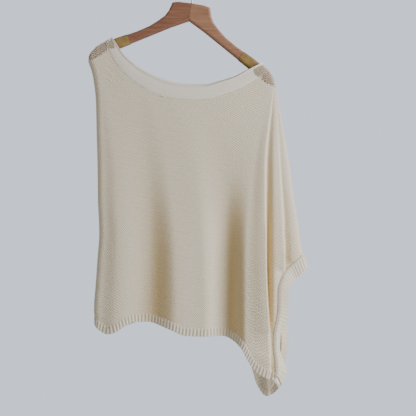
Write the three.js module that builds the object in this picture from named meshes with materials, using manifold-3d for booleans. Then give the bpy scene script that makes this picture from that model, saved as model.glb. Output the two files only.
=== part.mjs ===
// Knitted poncho sweater hanging on a wooden clothes hanger.
// Millimetres, +Z up. The front of the knit faces -Y and the closed side seam is at -X.
// The origin is the inside of the hook's crown, where a rail or a wall hook carries it.
// "drop" is the distance below the origin, "depth" the distance in front of (or behind)
// the plane in which the hanger lies.

import * as THREE from 'three';
import { mergeVertices } from 'three/addons/utils/BufferGeometryUtils.js';
import Module from 'manifold-3d';

// Driving dimensions
const WALL = 2.0;              // thickness of the knitted cloth
const SEAM_GAP = 0.3;          // space left between two sewn pieces
const BAND_GAP = 0.45;         // the same between a panel and a band, whose edges are curved
const CORNER_TRIM = 1.0;       // taken off the hem rib where the arm-edge rib meets it
const SHOULDER_ROUND = 10;     // drop over which the cloth rounds the hanger's upper edge
const SIDE_ROLL = 14;          // width of the rounded left side, from the seam to the front
const RIB_WIDTH = 16;          // knitted rib along the hem and the open arm edge
const RIB_PITCH = 8;           // one rib and one furrow
const RIB_RAISE = 1.1;         // how far a rib stands above its furrow
const EDGE_CALM = 18;          // width along the open arm edge over which the folds die out
const CALM_START = 20;         // drop below the wing's corner over which that sets in
const SEAM_OPENS = 50;         // drop over which the rounded closed edge turns into an open one
const HANGER_TILT = THREE.MathUtils.degToRad(8.5);
const HOOK_RADIUS = 20;        // inside radius of the hook
const WIRE_RADIUS = 1.7;
const STEM_TO_CROWN = 65;      // from the hanger's head up to the centre of the hook
const ARM_THICKNESS = 12;
const ARM_EDGE_ROUND = 5.5;
const GRIP_START = 137;        // the non-slip sleeve, across the hanger along the arm's top
const GRIP_END = 177;
const GRIP_DOWN = 94;          // height of the arm's top where the sleeve starts
const GRIP_FALL = 22.5;        // fall of the arm over the sleeve's length
const GRIP_THICKNESS = 0.6;

// Heights at which the fold tables below give a place and a depth
const FOLD_DROPS = [287, 472, 677, 880];
const ROLL_DEPTHS = [11, 12, 14, 16];    // how far the rounded left side reaches there

// Closed left side, from the shoulder tip to the hem
const LEFT_SIDE = {
  drop: [218, 229, 261, 307, 384, 461, 540, 617, 675, 733, 790, 828],
  x: [-250, -243, -236, -232, -230, -228, -227, -224, -228, -232, -236, -234],
};

// Seam over the arm, which falls from the hanger's right tip to the corner of the wing
const OVERARM = {
  drop: [269, 315, 384, 461, 530, 579, 656, 668],
  x: [185, 193, 205, 218, 227, 235, 246, 250],
};

// Upper edge of the cloth where it lies on the hanger, and its line across the neck
const SHOULDER_LINE = {
  x: [-250, -249, -238, -222, -209, -194, -106, 103, 154, 169, 179, 185],
  drop: [218, 208, 192, 178, 172, 165, 137, 189, 224, 240, 255, 269],
};
const NECK_LEFT = -209;
const NECK_RIGHT = 169;

// Boat neck: the edge of the neckband and the line where it joins the panel
const NECK = {
  edgeX: [-194, -160, -121, -83, -45, -7, 24, 54, 92, 123, 154],
  edgeDrop: [165, 213, 244, 263, 275, 279, 279, 271, 258, 240, 224],
  joinX: [-209, -178, -136, -92, -50, -7, 27, 61, 102, 135, 169],
  joinDrop: [172, 229, 268, 293, 303, 306, 305, 295, 280, 261, 240],
};
const BACK_NECK_RISE = 10;     // the back of the neck sits this much higher

// Places of the facets between two fold lines, closer together beside a neck corner, where
// the cloth turns over the hanger
const evenSteps = (count) => Array.from({ length: count }, (_, k) => k / count);
const AFTER_NECK = [0, 0.025, 0.07, 0.15, 0.35, 0.6, 0.8];
const BEFORE_NECK = [0, 0.25, 0.5, 0.75, 0.9, 0.955, 0.985];

// Folds: one row each, from the side seam to the wing, at the four heights above.
// "steps" places the facets between a fold line and the one before it.
const FRONT_FOLDS = [
  { name: 'left_ridge', x: [-209, -184, -172, -185], depth: [11, 14, 17, 19], steps: evenSteps(3) },
  { name: 'left_trough', x: [-146, -114, -104, -108], depth: [12, 12, 12, 12.5], steps: AFTER_NECK },
  { name: 'mid_rise', x: [-95, -62, -44, -42], depth: [12.5, 16, 28, 34], steps: evenSteps(3) },
  { name: 'mid_ridge', x: [-45, -5, 14, 18], depth: [13, 17, 27, 32], steps: evenSteps(2) },
  { name: 'mid_trough', x: [42, 61, 70, 74], depth: [13, 13, 13, 13.5], steps: evenSteps(4) },
  { name: 'main_ridge', x: [169, 132, 116, 114], depth: [11, 22, 38, 44], steps: BEFORE_NECK },
  { name: 'main_edge', x: [177, 158, 158, 167], depth: [10, 24, 42, 50], steps: evenSteps(4) },
  { name: 'recess', x: [180, 166, 168, 173], depth: [8.5, 10, 12, 40], steps: evenSteps(2) },
  { name: 'lobe', x: [182, 180, 180, 177], depth: [7.5, 18, 26, 38], steps: evenSteps(3) },
  { name: 'lobe_edge', x: [183, 192, 202, 179], depth: [7, 15, 24, 37], steps: evenSteps(2) },
  { name: 'inner_recess', x: [184, 197, 207, 180.2], depth: [6, 9, 9, 36.5], steps: evenSteps(2) },
  { name: 'wing_crest', x: [184.7, 203, 222, 181.4], depth: [5, 9, 13, 36], steps: evenSteps(3) },
];
const BACK_FOLDS = [
  { name: 'back_left_roll', x: [-209, -188, -180, -190], depth: [11, 12, 14, 18], steps: evenSteps(3) },
  { name: 'back_left_fold', x: [-154, -140, -132, -137], depth: [11, 14, 20, 24], steps: AFTER_NECK },
  { name: 'back_left_dip', x: [-72, -60, -56, -61], depth: [11, 11, 12, 12], steps: evenSteps(4) },
  { name: 'back_mid_fold', x: [10, 33, 43, 38], depth: [11, 15, 22, 28], steps: evenSteps(4) },
  { name: 'back_mid_dip', x: [92, 103, 103, 103], depth: [11, 12, 13, 14], steps: evenSteps(3) },
  { name: 'back_right_fold', x: [169, 156, 154, 150], depth: [11, 18, 26, 30], steps: BEFORE_NECK },
  { name: 'back_right_dip', x: [177, 182, 190, 172], depth: [10, 12, 14, 20], steps: evenSteps(3) },
  { name: 'back_wing_fold', x: [182, 203, 221, 186], depth: [7.5, 10, 16, 14], steps: evenSteps(2) },
];

// Lower edge of the hem rib, from the side seam to the corner under the wing.
// "flare" is how far the edge swings forward of the panel above it.
const FRONT_HEM = {
  x: [-234, -220, -202, -184, -161, -139, -109, -82, -52, -26, 5, 54, 84, 103, 116, 133, 154, 177, 194],
  drop: [828, 840, 848, 843, 829, 820, 820, 827, 837, 848, 850, 851, 860, 875, 899, 924, 937, 948, 964],
  flare: [0, 0, 0, 0, 0, 0, 0, 0, 0, 0, 0, 0, 0, 0, 0, 0, 0, 0, -20],
};
const BACK_HEM = {
  x: [-234, -215, -179, -132, -84, -37, 10, 57, 94, 118, 132, 144, 165, 181, 195],
  drop: [828, 840, 839, 826, 824, 840, 854, 857, 871, 903, 937, 977, 1001, 995, 978],
  flare: [0, 0, 0, 0, 0, 0, 0, 0, 0, 0, 0, 0, 0, 0, -6],
};

// Ribbed arm edge, from the corner of the wing down to the hem: where the rib joins the
// panel and where it ends, each with its own depth, so that the band turns as it falls.
const FRONT_CUFF = {
  joinX: [250, 247, 234, 219, 203, 194, 193, 189, 183, 182, 185, 186, 184],
  joinDrop: [668, 671, 683, 697, 716, 748, 786, 813, 844, 873, 902, 919, 937],
  joinDepth: [0.15, 3, 8, 11, 20, 26, 28, 30, 33, 34, 36, 38, 40],
  edgeX: [258, 255, 244, 231, 219, 211, 211, 205, 192, 191, 201, 207, 196],
  edgeDrop: [696, 699, 710, 720, 733, 755, 790, 822, 854, 882, 912, 932, 962],
  edgeDepth: [0.15, 3, 7, 9, 16, 22, 20, 18, 16, 15, 16, 18, 20],
};
const BACK_CUFF = {
  joinX: [250, 247, 229, 209, 195, 195, 200, 201, 197, 190, 186],
  joinDrop: [668, 671, 692, 721, 758, 803, 844, 874, 905, 943, 962],
  joinDepth: [0.15, 4, 13, 14, 16, 14, 10, 8, 10, 14, 14],
  edgeX: [258, 255, 240, 220, 210, 211, 215, 217, 211, 205, 197],
  edgeDrop: [696, 699, 715, 737, 767, 804, 843, 870, 905, 946, 976],
  edgeDepth: [0.15, 4, 11, 13, 14, 10, 5, 2, 4, 8, 8],
};

// Hanger, measured from the middle of its head, across and down
const ARM_TOP = {
  across: [0, 30, 44, 50, 57, 72, 90, 116, 140, 160, 173, 190, 202, 208],
  down: [0, 0.6, 4, 24, 37, 52, 67, 83, 95.5, 105.5, 113.5, 126.5, 140, 151],
};
const ARM_UNDER = {
  across: [206, 199, 180, 152, 94, 40, 0],
  down: [160, 163, 150, 129, 95, 63, 42],
};

// Colours
const KNIT = '#e8dec6';
const KNIT_BAND = '#eee7d6';
const WOOD_DARK = '#7d5c4a';
const WOOD_LIGHT = '#8e705a';
const OCHRE = '#9a7b3c';
const STEEL = '#4a4c50';

// Smooth curve through given points that never overshoots them
function smoothThrough(at, values) {
  const last = at.length - 1;
  const slope = at.slice(1).map((a, i) => (values[i + 1] - values[i]) / (a - at[i]));
  const tangent = values.map((_, i) => {
    if (i === 0) return slope[0];
    if (i === last) return slope[last - 1];
    const product = slope[i - 1] * slope[i];
    return product <= 0 ? 0 : (2 * product) / (slope[i - 1] + slope[i]);
  });
  return (position) => {
    if (position <= at[0]) return values[0];
    if (position >= at[last]) return values[last];
    let i = 0;
    while (position > at[i + 1]) i += 1;
    const width = at[i + 1] - at[i];
    const t = (position - at[i]) / width;
    const rest = 1 - t;
    return values[i] * (1 + 2 * t) * rest * rest + values[i + 1] * t * t * (3 - 2 * t)
      + width * t * rest * (tangent[i] * rest - tangent[i + 1] * t);
  };
}

// Position, counted in rows, at which a steadily rising column reaches a value
function rowAt(column, value) {
  const last = column.length - 1;
  const sign = Math.sign(column[last] - column[0]);
  let i = 0;
  while (i < last - 1 && sign * value > sign * column[i + 1]) i += 1;
  const t = (value - column[i]) / (column[i + 1] - column[i]);
  return i + THREE.MathUtils.clamp(t, 0, 1);
}

const rowNumbers = (column) => column.map((_, i) => i);
const quarterRound = (t) => Math.sqrt(1 - (1 - t) ** 2);
const softStep = (t) => (1 - Math.cos(Math.PI * t)) / 2;

const leftSide = smoothThrough(LEFT_SIDE.drop, LEFT_SIDE.x);
const shoulderLine = smoothThrough(SHOULDER_LINE.x, SHOULDER_LINE.drop);

// Everything that differs between the front and the back panel
function makeSide({ facing, folds, hem, cuff, neckRise }) {
  const rise = (column) => column.map((drop, i) => {
    const share = i / (column.length - 1);
    return drop - neckRise * Math.sin(Math.PI * share) ** 0.5;
  });
  const side = {
    facing,
    folds,
    cuff,
    hem,
    neck: { ...NECK, edgeDrop: rise(NECK.edgeDrop), joinDrop: rise(NECK.joinDrop) },
    rightX: smoothThrough([...OVERARM.drop, ...cuff.joinDrop.slice(1)],
      [...OVERARM.x, ...cuff.joinX.slice(1)]),
    rightDepth: smoothThrough(cuff.joinDrop, cuff.joinDepth),
    foldX: folds.map((fold) => smoothThrough(FOLD_DROPS, fold.x)),
    foldDepth: folds.map((fold) => smoothThrough(FOLD_DROPS, fold.depth)),
    rollDepth: smoothThrough(FOLD_DROPS, ROLL_DEPTHS),
  };
  side.neckJoin = smoothThrough(side.neck.joinX, side.neck.joinDrop);
  side.hemJoin = insetHem(side);
  side.hemTop = smoothThrough(side.hemJoin.x, side.hemJoin.drop);
  return side;
}

// Line where the hem rib joins the panel: the hem's edge moved in by the rib's width, in a
// direction half way between straight up and square to the edge
function insetHem({ hem, cuff }) {
  const last = hem.x.length - 1;
  const x = [leftSide(hem.drop[0] - RIB_WIDTH)];
  const drop = [hem.drop[0] - RIB_WIDTH];
  for (let i = 1; i < last; i += 1) {
    const across = hem.x[i + 1] - hem.x[i - 1];
    const down = hem.drop[i + 1] - hem.drop[i - 1];
    const length = Math.hypot(across, down);
    x.push(hem.x[i] + (RIB_WIDTH * down) / length / 2);
    drop.push(hem.drop[i] - (RIB_WIDTH * (1 + across / length)) / 2);
  }
  x.push(cuff.joinX.at(-1));
  drop.push(cuff.joinDrop.at(-1));
  return { x, drop };
}

const smallShare = (value) => THREE.MathUtils.clamp(value, 0, 1);

// 0 where the right side is closed by the seam over the arm, 1 where it hangs open
const openness = (side, drop, over) => smallShare((drop - side.cuff.joinDrop[0]) / over);

// Fold lines at one height, from the side seam to the seam over the arm or the cuff
function linesAt(side, drop) {
  const left = leftSide(drop);
  const right = side.rightX(drop);
  const edgeDepth = side.rightDepth(drop);
  const count = side.folds.length;
  const leastSpace = 1.2;
  const lines = [
    { x: left, depth: SEAM_GAP / 2 },
    { x: left + SIDE_ROLL, depth: side.rollDepth(drop) },
  ];
  side.folds.forEach((_, i) => {
    const x = Math.min(side.foldX[i](drop), right - leastSpace * (count - i));
    const calm = openness(side, drop, CALM_START) * (1 - smallShare((right - x) / EDGE_CALM));
    lines.push({ x, depth: THREE.MathUtils.lerp(side.foldDepth[i](drop), edgeDepth, calm) });
  });
  lines.push({ x: right, depth: edgeDepth });
  return lines;
}

// Depth between two neighbouring lines: round at a seam, a soft wave elsewhere
function depthBetween(side, lines, index, t, drop) {
  const { depth: from } = lines[index];
  const { depth: to } = lines[index + 1];
  if (index === 0) return from + (to - from) * quarterRound(t);
  const wave = from + (to - from) * softStep(t);
  if (index < lines.length - 2) return wave;
  const round = to + (from - to) * quarterRound(1 - t);
  return THREE.MathUtils.lerp(round, wave, openness(side, drop, SEAM_OPENS));
}

// A point of the outer surface, "index" and "t" being its place between the fold lines
function clothPoint(side, index, t, drop) {
  const lines = linesAt(side, drop);
  const x = THREE.MathUtils.lerp(lines[index].x, lines[index + 1].x, t);
  const below = smallShare((drop - shoulderLine(x)) / SHOULDER_ROUND);
  const depth = depthBetween(side, lines, index, t, drop) * quarterRound(below);
  return new THREE.Vector3(x, side.facing * Math.max(depth, SEAM_GAP / 2), -drop);
}

// The same, found by its place across the garment
function clothPointAt(side, x, drop) {
  const lines = linesAt(side, drop);
  let index = 0;
  while (index < lines.length - 2 && x > lines[index + 1].x) index += 1;
  const width = lines[index + 1].x - lines[index].x;
  const t = smallShare((x - lines[index].x) / width);
  const point = clothPoint(side, index, t, drop);
  point.x = x;
  return point;
}

// Places of the panel's columns between the fold lines
function panelColumns(side) {
  const columns = [{ index: 0, t: 0 }, { index: 0, t: 0.1 }, { index: 0, t: 0.35 }];
  side.folds.forEach((fold, i) => {
    fold.steps.forEach((t) => columns.push({ index: i + 1, t }));
  });
  const lastIndex = side.folds.length + 1;
  [0, 0.65, 0.9, 1].forEach((t) => columns.push({ index: lastIndex, t }));
  return columns;
}

function topDrop(side, x) {
  const onNeck = x > NECK_LEFT && x < NECK_RIGHT;
  return onNeck ? side.neckJoin(x) : shoulderLine(x);
}

// Drop at which a column meets an edge whose own drop depends on the place across
function meetEdge(side, column, edge, start) {
  let drop = start;
  for (let i = 0; i < 12; i += 1) drop = edge(clothPoint(side, column.index, column.t, drop).x);
  return drop;
}

// Outer grid of a panel: rows from the neck or shoulder down to the corner of the wing,
// and from there to the hem rib, closest together where the cloth turns
function panelGrid(side, rowsAbove) {
  const nearTop = [0, 1.2, 4, 10];
  const belowWing = [0.012, 0.04, 0.1, 0.2, 0.33, 0.5, 0.67, 0.84, 1];
  const wing = side.cuff.joinDrop[0];
  return panelColumns(side).map((column) => {
    const top = meetEdge(side, column, (x) => topDrop(side, x), FOLD_DROPS[0]);
    const bottom = meetEdge(side, column, side.hemTop, FOLD_DROPS[3]);
    const first = top + nearTop.at(-1);
    const drops = nearTop.map((offset) => top + offset);
    for (let k = 1; k <= rowsAbove; k += 1) drops.push(THREE.MathUtils.lerp(first, wing, k / rowsAbove));
    belowWing.forEach((share) => drops.push(THREE.MathUtils.lerp(wing, bottom, share)));
    return drops.map((drop) => clothPoint(side, column.index, column.t, drop));
  });
}

// Direction that points out of a grid of points, level at a seam so that its wall ends
// flat against the wall of the next piece
function gridNormals(grid, facing) {
  return grid.map((column, i) => column.map((point, j) => {
    const across = new THREE.Vector3().subVectors(
      grid[Math.min(i + 1, grid.length - 1)][j], grid[Math.max(i - 1, 0)][j]);
    const along = new THREE.Vector3().subVectors(
      column[Math.min(j + 1, column.length - 1)], column[Math.max(j - 1, 0)]);
    const normal = across.cross(along).normalize();
    if (normal.y * facing < 0) normal.negate();
    if (Math.abs(point.y) < SEAM_GAP) normal.setY(0).normalize();
    return normal;
  }));
}

// Keeps a point on its own side of the plane where the front and the back meet
function keepSide(point, facing) {
  return point.setY(facing * Math.max(SEAM_GAP / 2, facing * point.y));
}

function innerGrid(grid, normals, facing) {
  return grid.map((column, i) => column.map(
    (point, j) => keepSide(point.clone().addScaledVector(normals[i][j], -WALL), facing)));
}

// Closed wall between an outer and an inner grid of the same size
function wallBetween(outer, inner) {
  const columns = outer.length;
  const rows = outer[0].length;
  const points = [...outer.flat(), ...inner.flat()];
  const faces = [];
  const outerAt = (i, j) => i * rows + j;
  const innerAt = (i, j) => columns * rows + i * rows + j;
  const quad = (a, b, c, d) => faces.push(a, b, c, a, c, d);
  for (let i = 0; i < columns - 1; i += 1) {
    for (let j = 0; j < rows - 1; j += 1) {
      quad(outerAt(i, j), outerAt(i, j + 1), outerAt(i + 1, j + 1), outerAt(i + 1, j));
      quad(innerAt(i, j), innerAt(i + 1, j), innerAt(i + 1, j + 1), innerAt(i, j + 1));
    }
    quad(outerAt(i, 0), outerAt(i + 1, 0), innerAt(i + 1, 0), innerAt(i, 0));
    quad(outerAt(i, rows - 1), innerAt(i, rows - 1), innerAt(i + 1, rows - 1), outerAt(i + 1, rows - 1));
  }
  for (let j = 0; j < rows - 1; j += 1) {
    quad(outerAt(0, j), innerAt(0, j), innerAt(0, j + 1), outerAt(0, j + 1));
    quad(outerAt(columns - 1, j), outerAt(columns - 1, j + 1), innerAt(columns - 1, j + 1), innerAt(columns - 1, j));
  }
  return closedGeometry(points, faces);
}

// Geometry from points and faces, turned so that its faces point outwards
function closedGeometry(points, faces) {
  const volume = faces.reduce((sum, _, i) => {
    if (i % 3 !== 0) return sum;
    const [a, b, c] = [points[faces[i]], points[faces[i + 1]], points[faces[i + 2]]];
    return sum + a.dot(new THREE.Vector3().crossVectors(b, c));
  }, 0);
  const geometry = new THREE.BufferGeometry();
  geometry.setFromPoints(points);
  geometry.setIndex(volume > 0 ? faces : faces.toReversed());
  geometry.computeVertexNormals();
  return geometry;
}

// An edge of a panel as its outer and inner points
function edgeOf(outer, inner, places) {
  return places.map(([i, j]) => ({ outer: outer[i][j], inner: inner[i][j] }));
}

// Places on an edge about one step apart, among them all the corners of the panel, and
// whether each lies on a rib or in a furrow
function walkEdge(edge, step) {
  const leastShare = 0.7;
  const walked = [{ ...edge[0], raised: false }];
  let sinceChange = 0;
  let raised = false;
  edge.slice(1).forEach((place, i) => {
    const from = edge[i];
    const length = place.outer.distanceTo(from.outer);
    const count = Math.max(1, Math.round(length / step));
    for (let k = 1; k <= count; k += 1) {
      sinceChange += length / count;
      if (sinceChange > leastShare * step) {
        raised = !raised;
        sinceChange = 0;
      }
      const outer = from.outer.clone().lerp(place.outer, k / count);
      const inner = from.inner.clone().lerp(place.inner, k / count);
      walked.push({ outer, inner, raised });
    }
  });
  return walked;
}

// The hem's edge without its last stretch, where the arm-edge rib comes down beside it
function stopShort(edge) {
  const corner = edge.at(-1).outer;
  const kept = edge.filter((place) => place.outer.distanceTo(corner) > CORNER_TRIM);
  kept.at(-1).corner = corner;
  return kept;
}

// Band sewn to a panel's edge. It starts a seam's gap from the panel and ends at "endPoint";
// its wall keeps the panel's own thickness and direction, and ribs stand up on its outside.
function bandOnEdge(side, edge, endPoint, ribRaise) {
  const outer = [];
  const inner = [];
  edge.forEach((place, k) => {
    const end = endPoint(place.corner ?? place.outer);
    const thickness = place.inner.clone().sub(place.outer);
    const along = edge[Math.min(k + 1, edge.length - 1)].outer.clone()
      .sub(edge[Math.max(k - 1, 0)].outer).normalize();
    const gap = end.clone().sub(place.outer);
    gap.addScaledVector(along, -gap.dot(along));
    if (Math.abs(place.outer.y) < 2 * WALL) gap.setY(0);
    gap.setLength(BAND_GAP);
    const raise = thickness.clone().setLength(place.raised ? -ribRaise : 0);
    const start = place.outer.clone().add(gap);
    const ownSide = (point) => keepSide(point, side.facing);
    outer.push([start.clone().add(raise), end.clone().add(raise)].map(ownSide));
    inner.push([start.clone().add(thickness), end.clone().add(thickness)].map(ownSide));
  });
  return wallBetween(outer, inner);
}

// The far edges of the three bands, each found from a point on the panel's edge
function hemEnd(side) {
  const rows = rowNumbers(side.hem.x);
  const endX = smoothThrough(rows, side.hem.x);
  const endDrop = smoothThrough(rows, side.hem.drop);
  const flare = smoothThrough(rows, side.hem.flare);
  return (point) => {
    const row = rowAt(side.hemJoin.x, point.x);
    const end = new THREE.Vector3(endX(row), point.y, -endDrop(row));
    end.y += side.facing * flare(row);
    return end;
  };
}

function cuffEnd(side) {
  const rows = rowNumbers(side.cuff.edgeX);
  const endX = smoothThrough(rows, side.cuff.edgeX);
  const endDrop = smoothThrough(rows, side.cuff.edgeDrop);
  const endDepth = smoothThrough(rows, side.cuff.edgeDepth);
  return (point) => {
    const row = rowAt(side.cuff.joinDrop, -point.z);
    return new THREE.Vector3(endX(row), side.facing * endDepth(row), -endDrop(row));
  };
}

function neckEnd(side) {
  const rows = rowNumbers(side.neck.edgeX);
  const endX = smoothThrough(rows, side.neck.edgeX);
  const endDrop = smoothThrough(rows, side.neck.edgeDrop);
  return (point) => {
    const row = rowAt(side.neck.joinX, point.x);
    return clothPointAt(side, endX(row), endDrop(row));
  };
}

function material(color, roughness, metalness = 0) {
  return new THREE.MeshStandardMaterial({ color, roughness, metalness });
}

function piece(name, geometry, finish) {
  const mesh = new THREE.Mesh(geometry, finish);
  mesh.name = name;
  return mesh;
}

// One half of the garment: its panel with neckband, hem rib and arm-edge rib
function garmentHalf(label, side, rowsAbove) {
  const outer = panelGrid(side, rowsAbove);
  const inner = innerGrid(outer, gridNormals(outer, side.facing), side.facing);
  const lastColumn = outer.length - 1;
  const lastRow = outer[0].length - 1;
  const onNeck = outer.map((_, i) => [i, 0]).filter(([i]) => {
    const { x } = outer[i][0];
    return x > NECK_LEFT - 0.5 && x < NECK_RIGHT + 0.5;
  });
  const onHem = outer.map((_, i) => [i, lastRow]);
  const onCuff = outer[lastColumn].map((_, j) => [lastColumn, j])
    .filter(([i, j]) => -outer[i][j].z > side.cuff.joinDrop[0] - 1);
  const neckEdge = edgeOf(outer, inner, onNeck);
  const hemEdge = stopShort(walkEdge(edgeOf(outer, inner, onHem), RIB_PITCH / 2));
  const cuffEdge = walkEdge(edgeOf(outer, inner, onCuff), RIB_PITCH / 2);
  const knit = material(KNIT, 0.9);
  const group = new THREE.Group();
  group.add(
    piece(`${label}_panel`, wallBetween(outer, inner), knit),
    piece(`${label}_neckband`, bandOnEdge(side, neckEdge, neckEnd(side), 0), material(KNIT_BAND, 0.85)),
    piece(`${label}_hem_rib`, bandOnEdge(side, hemEdge, hemEnd(side), RIB_RAISE), knit),
    piece(`${label}_cuff_rib`, bandOnEdge(side, cuffEdge, cuffEnd(side), RIB_RAISE), knit),
  );
  return group;
}

// Outline of one arm in the plane of the hanger, from past the middle of the head to its tip
function armShape() {
  const pastMiddle = 8;
  const shape = new THREE.Shape();
  shape.moveTo(-pastMiddle, -ARM_TOP.down[0]);
  ARM_TOP.across.forEach((across, i) => shape.lineTo(across, -ARM_TOP.down[i]));
  ARM_UNDER.across.forEach((across, i) => shape.lineTo(across, -ARM_UNDER.down[i]));
  shape.lineTo(-pastMiddle, -ARM_UNDER.down.at(-1));
  shape.closePath();
  return shape;
}

// A flat shape given its thickness, standing in the plane of the hanger
function upright(shape, thickness, bevel = { bevelEnabled: false }) {
  const geometry = new THREE.ExtrudeGeometry(shape, { depth: thickness, ...bevel });
  geometry.translate(0, 0, -thickness / 2);
  geometry.rotateX(Math.PI / 2);
  return geometry;
}

// The whole arm with rounded edges, grown by "extra" on all its faces
function wholeArm(extra) {
  return upright(armShape(), ARM_THICKNESS - 2 * ARM_EDGE_ROUND, {
    bevelThickness: ARM_EDGE_ROUND + extra,
    bevelSize: ARM_EDGE_ROUND + extra,
    bevelOffset: -ARM_EDGE_ROUND,
    bevelSegments: 3,
  });
}

function toSolid(geometry) {
  const bare = geometry.clone();
  bare.deleteAttribute('normal');
  bare.deleteAttribute('uv');
  const merged = mergeVertices(bare, 1e-4);
  const vertProperties = new Float32Array(merged.attributes.position.array);
  const triVerts = new Uint32Array(merged.index.array);
  return new wasm.Manifold(new wasm.Mesh({ numProp: 3, vertProperties, triVerts }));
}

function fromSolid(solid) {
  const { vertProperties, triVerts } = solid.getMesh();
  const geometry = new THREE.BufferGeometry();
  geometry.setAttribute('position', new THREE.BufferAttribute(vertProperties, 3));
  geometry.setIndex(new THREE.BufferAttribute(triVerts, 1));
  geometry.computeVertexNormals();
  return geometry;
}

// The right arm, cut square at the joint in the middle of the head
function armSolid() {
  const beyond = 300;
  const half = new THREE.BoxGeometry(beyond, beyond, 2 * beyond);
  half.translate(beyond / 2 + SEAM_GAP / 2, 0, 0);
  return toSolid(wholeArm(0)).intersect(toSolid(half));
}

// Non-slip sleeve around the arm, cut square to it at both ends
function gripSolid() {
  const slope = Math.atan2(GRIP_FALL, GRIP_END - GRIP_START);
  const along = new THREE.Vector2(Math.cos(slope), -Math.sin(slope));
  const up = new THREE.Vector2(Math.sin(slope), Math.cos(slope));
  const start = new THREE.Vector2(GRIP_START, -GRIP_DOWN);
  const length = Math.hypot(GRIP_FALL, GRIP_END - GRIP_START);
  const reach = 60;
  const corner = (a, b) => start.clone().addScaledVector(along, a).addScaledVector(up, b);
  const slab = upright(new THREE.Shape([
    corner(0, reach), corner(0, -reach), corner(length, -reach), corner(length, reach),
  ]), reach);
  const outside = toSolid(wholeArm(SEAM_GAP + GRIP_THICKNESS));
  return outside.intersect(toSolid(slab)).subtract(toSolid(wholeArm(SEAM_GAP)));
}

// Steel wire: a straight stem, a sweep to one side and a round crown over the centre line
function hookGeometry() {
  const middle = HOOK_RADIUS + WIRE_RADIUS;
  const stem = [0.3, 10, 20, 30].map((up) => new THREE.Vector3(0, 0, up));
  const sweep = new THREE.Vector3(middle / 2, 0, STEM_TO_CROWN - middle);
  const crown = [-10, 20, 50, 80, 110, 140, 170, 190].map((degrees) => {
    const angle = THREE.MathUtils.degToRad(degrees);
    return new THREE.Vector3(middle * Math.cos(angle), 0, STEM_TO_CROWN + middle * Math.sin(angle));
  });
  const path = new THREE.CatmullRomCurve3([...stem, sweep, ...crown]);
  const section = new THREE.Shape().absarc(0, 0, WIRE_RADIUS, 0, 2 * Math.PI);
  return new THREE.ExtrudeGeometry(section, { steps: 34, curveSegments: 8, extrudePath: path });
}

// The hanger, tilted because the wide half of the garment pulls its right end down
function makeHanger() {
  const hanger = new THREE.Group();
  const arm = armSolid();
  const grip = gripSolid();
  const ochre = material(OCHRE, 0.8);
  hanger.add(
    piece('hanger_arm_left', fromSolid(arm.mirror([1, 0, 0])), material(WOOD_DARK, 0.55)),
    piece('hanger_arm_right', fromSolid(arm), material(WOOD_LIGHT, 0.55)),
    piece('grip_sleeve_left', fromSolid(grip.mirror([1, 0, 0])), ochre),
    piece('grip_sleeve_right', fromSolid(grip), ochre),
    piece('hanger_hook', hookGeometry(), material(STEEL, 0.3, 1)),
  );
  hanger.rotation.y = HANGER_TILT;
  hanger.position.set(-STEM_TO_CROWN * Math.sin(HANGER_TILT), 0,
    -HOOK_RADIUS - STEM_TO_CROWN * Math.cos(HANGER_TILT));
  return hanger;
}

const wasm = await Module();
wasm.setup();

const front = makeSide({ facing: -1, folds: FRONT_FOLDS, hem: FRONT_HEM, cuff: FRONT_CUFF, neckRise: 0 });
const back = makeSide({ facing: 1, folds: BACK_FOLDS, hem: BACK_HEM, cuff: BACK_CUFF, neckRise: BACK_NECK_RISE });

const poncho = new THREE.Group();
poncho.add(
  garmentHalf('front', front, 9),
  garmentHalf('back', back, 7),
  makeHanger(),
);

export default poncho;
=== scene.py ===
"""Loose-knit poncho sweater on a wooden clothes hanger.

The frame is in metres, +Z up, with the front of the knit facing -Y and the inside of the
hook's crown at the origin. Tables are in millimetres: "drop" is a distance below the origin
and "depth" a distance in front of (or behind) the plane in which the hanger lies.
"""
import math

import bmesh
import bpy
import numpy as np
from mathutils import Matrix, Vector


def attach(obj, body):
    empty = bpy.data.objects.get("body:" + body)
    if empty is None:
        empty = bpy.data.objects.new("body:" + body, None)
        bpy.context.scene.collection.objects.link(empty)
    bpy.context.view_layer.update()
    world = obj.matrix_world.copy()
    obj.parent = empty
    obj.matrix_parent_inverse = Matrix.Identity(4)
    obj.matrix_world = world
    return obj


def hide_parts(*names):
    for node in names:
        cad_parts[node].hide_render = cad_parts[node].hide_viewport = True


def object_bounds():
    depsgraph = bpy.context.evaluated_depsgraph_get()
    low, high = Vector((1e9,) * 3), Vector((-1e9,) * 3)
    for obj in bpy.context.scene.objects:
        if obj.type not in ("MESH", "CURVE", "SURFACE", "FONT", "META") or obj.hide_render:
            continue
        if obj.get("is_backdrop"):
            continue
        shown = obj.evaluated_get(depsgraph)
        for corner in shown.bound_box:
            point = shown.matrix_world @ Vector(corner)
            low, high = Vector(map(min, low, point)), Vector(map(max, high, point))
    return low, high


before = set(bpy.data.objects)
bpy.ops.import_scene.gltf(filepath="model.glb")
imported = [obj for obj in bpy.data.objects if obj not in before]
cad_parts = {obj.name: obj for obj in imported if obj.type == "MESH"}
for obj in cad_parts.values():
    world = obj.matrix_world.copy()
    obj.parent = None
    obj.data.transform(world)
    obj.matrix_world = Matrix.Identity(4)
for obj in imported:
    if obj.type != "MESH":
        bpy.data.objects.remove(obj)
cad_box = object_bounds()


# Hanger arms: two flat pieces of oiled hardwood, sawn and rounded over along their edges, and
# glued together in the middle of the head. The left one is redder and darker than the right,
# and a broad rounded end on each fills the shoulder of what hangs on it.

WOOD_DARK = {"name": "oiled_red_hardwood", "early": "#946850", "late": "#744a37", "turn": 22}
WOOD_LIGHT = {"name": "oiled_brown_hardwood", "early": "#a67c60", "late": "#8a6048", "turn": -39}


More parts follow.
